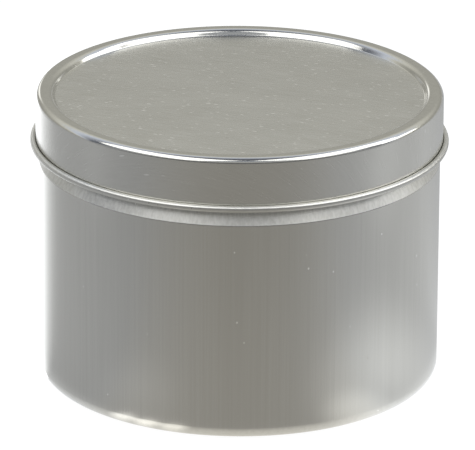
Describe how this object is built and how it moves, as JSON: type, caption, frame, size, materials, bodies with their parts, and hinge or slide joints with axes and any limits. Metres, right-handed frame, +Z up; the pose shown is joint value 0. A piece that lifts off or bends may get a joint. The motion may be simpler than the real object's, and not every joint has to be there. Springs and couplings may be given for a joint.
{
  "type": "slip-lid tin",
  "caption": "Round deep seamless slip-lid tin in bare tinplate for shoe polish: drawn can, lift-off pressed lid with a recessed panel and a curled edge, and the set wax inside.",
  "frame": {"origin": "centre of the standing ring, on the surface that the tin stands on", "axes": "+Z up the tin's axis, towards the lid; the tin is round, so +X and +Y are any two square directions"},
  "size_m": [0.078, 0.078, 0.055],
  "materials": {
    "tinplate_can": "satin",
    "tinplate_lid": "satin",
    "black_wax": "satin"
  },
  "bodies": {
    "can": {"can_body": "tinplate_can", "polish_cake": "black_wax"},
    "lid": {"slip_lid": "tinplate_lid"}
  },
  "joints": [
    {"name": "lid_lift", "type": "slide", "parent": "can", "child": "lid", "axis": [0, 0, 1], "range_m": [0, 0.06]}
  ]
}
